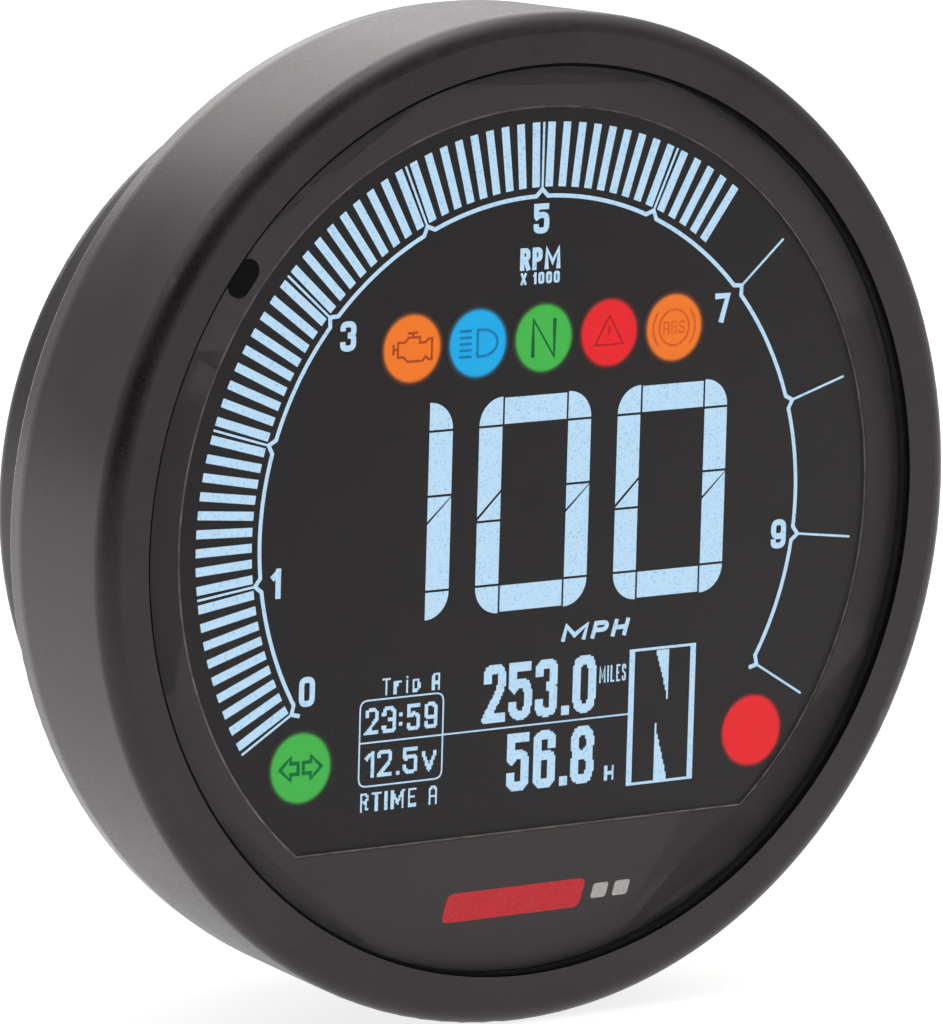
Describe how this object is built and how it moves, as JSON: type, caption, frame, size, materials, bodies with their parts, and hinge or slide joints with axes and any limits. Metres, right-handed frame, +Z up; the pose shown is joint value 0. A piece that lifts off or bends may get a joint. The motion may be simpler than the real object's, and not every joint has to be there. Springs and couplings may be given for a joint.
{
  "type": "instrument cluster",
  "caption": "Round motorcycle instrument cluster with a flat liquid-crystal dial, a shallow black case, two rear push buttons, a rear plug socket and a three-point rear mount.",
  "frame": {"origin": "centre of the rear mounting plane, on the axis of the case, level with the faces of the three mount pads", "axes": "+Y backwards along the axis of the case, out of the back; the dial faces -Y; +Z up on the dial; +X to the right of someone reading the dial"},
  "size_m": [0.1154, 0.0413, 0.1154],
  "materials": {
    "housing": "fine-grained matte black moulding",
    "lens": "clear hard-coated polycarbonate",
    "mask_print": "black screen print on film",
    "smoked_window": "smoked, glossy",
    "clear_acrylic": "clear acrylic",
    "display_glass": "thin flat glass",
    "polariser": "dark anti-glare film",
    "rubber_seal": "soft black rubber",
    "button_rubber": "satin black rubber",
    "white_plastic": "white moulding",
    "white_film": "white film",
    "black_plastic": "black moulding",
    "amber_filter": "translucent amber",
    "blue_filter": "translucent blue",
    "green_filter": "translucent green",
    "red_filter": "translucent red",
    "lamp_chip": "white package, phosphor face",
    "circuit_laminate": "green solder resist",
    "chip_package": "black epoxy",
    "ceramic_chip": "tan ceramic",
    "can_metal": "drawn aluminium can",
    "screw_steel": "zinc-plated steel",
    "insert_brass": "turned brass",
    "pin_brass": "tin-flashed brass"
  },
  "bodies": {
    "cluster": {"abs_lamp_filter": "amber_filter", "adjust_switch": "black_plastic", "alert_lamp_filter": "red_filter", "alert_lamp_shroud": "black_plastic", "backlight_leds": "lamp_chip", "bezel_housing": "housing", "board_screws": "screw_steel", "case_screws": "screw_steel", "case_seal": "rubber_seal", "chip_capacitors": "ceramic_chip", "connector_pins": "pin_brass", "connector_seal": "rubber_seal", "connector_shroud": "black_plastic", "crystal": "can_metal", "diffuser_sheet": "white_film", "display_board": "circuit_laminate", "display_driver": "chip_package", "display_mask": "mask_print", "engine_lamp_filter": "amber_filter", "filter_capacitors": "can_metal", "front_lens": "lens", "hazard_lamp_filter": "red_filter", "high_beam_lamp_filter": "blue_filter", "input_choke": "chip_package", "interface_board": "circuit_laminate", "interface_screws": "screw_steel", "lamp_leds": "lamp_chip", "lamp_row_shroud": "black_plastic", "lcd_contacts": "pin_brass", "lcd_front_glass": "display_glass", "lcd_front_polariser": "polariser", "lcd_holder": "white_plastic", "lcd_rear_glass": "display_glass", "lcd_rear_polariser": "polariser", "lens_seal": "rubber_seal", "light_guide": "clear_acrylic", "light_sensor": "chip_package", "link_header": "black_plastic", "link_pins": "pin_brass", "link_socket": "black_plastic", "memory_chip": "chip_package", "microcontroller": "chip_package", "mount_inserts": "insert_brass", "neutral_lamp_filter": "green_filter", "rear_case": "housing", "reflector_sheet": "white_film", "select_switch": "black_plastic", "sensor_light_pipe": "clear_acrylic", "sensor_window": "smoked_window", "turn_lamp_filter": "green_filter", "turn_lamp_shroud": "black_plastic", "vent_plug": "black_plastic", "voltage_regulator": "chip_package"},
    "select_button_body": {"select_button": "button_rubber", "select_button_seal": "rubber_seal"},
    "adjust_button_body": {"adjust_button": "button_rubber", "adjust_button_seal": "rubber_seal"}
  },
  "joints": [
    {"name": "select_press", "type": "slide", "parent": "cluster", "child": "select_button_body", "axis": [0, -1, 0], "range_m": [0, 0.001], "stiffness_N_per_m": 2500},
    {"name": "adjust_press", "type": "slide", "parent": "cluster", "child": "adjust_button_body", "axis": [0, -1, 0], "range_m": [0, 0.001], "stiffness_N_per_m": 2500}
  ]
}
